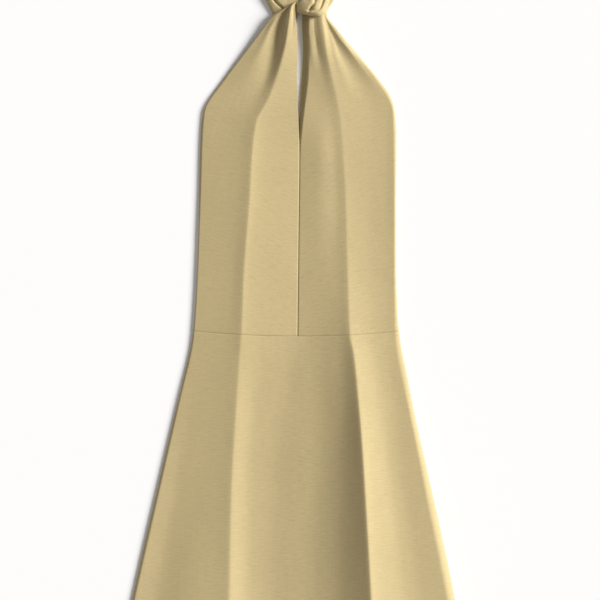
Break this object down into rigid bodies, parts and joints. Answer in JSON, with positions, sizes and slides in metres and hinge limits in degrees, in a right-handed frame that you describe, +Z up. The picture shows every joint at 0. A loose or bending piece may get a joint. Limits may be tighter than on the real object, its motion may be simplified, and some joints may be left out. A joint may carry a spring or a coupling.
{
  "type": "halter dress",
  "caption": "Sleeveless halter dress of tan woven cloth laid flat: gathered fronts, a knotted neck with a keyhole slit below it, a low waist seam and a flared skirt.",
  "frame": {"origin": "centre of the footprint, on the surface that the dress lies on", "axes": "+Y from the hem to the nape, +X to the right of the dress as seen from above, +Z up through its front"},
  "size_m": [0.6705, 1.4619, 0.0473],
  "materials": {
    "cloth": "matt slubbed plain weave"
  },
  "bodies": {
    "root": {"front_bodice_left": "cloth", "front_bodice_right": "cloth", "front_skirt": "cloth", "back_bodice": "cloth", "back_skirt": "cloth", "neck_strap_left": "cloth", "neck_strap_right": "cloth"}
  },
  "joints": []
}
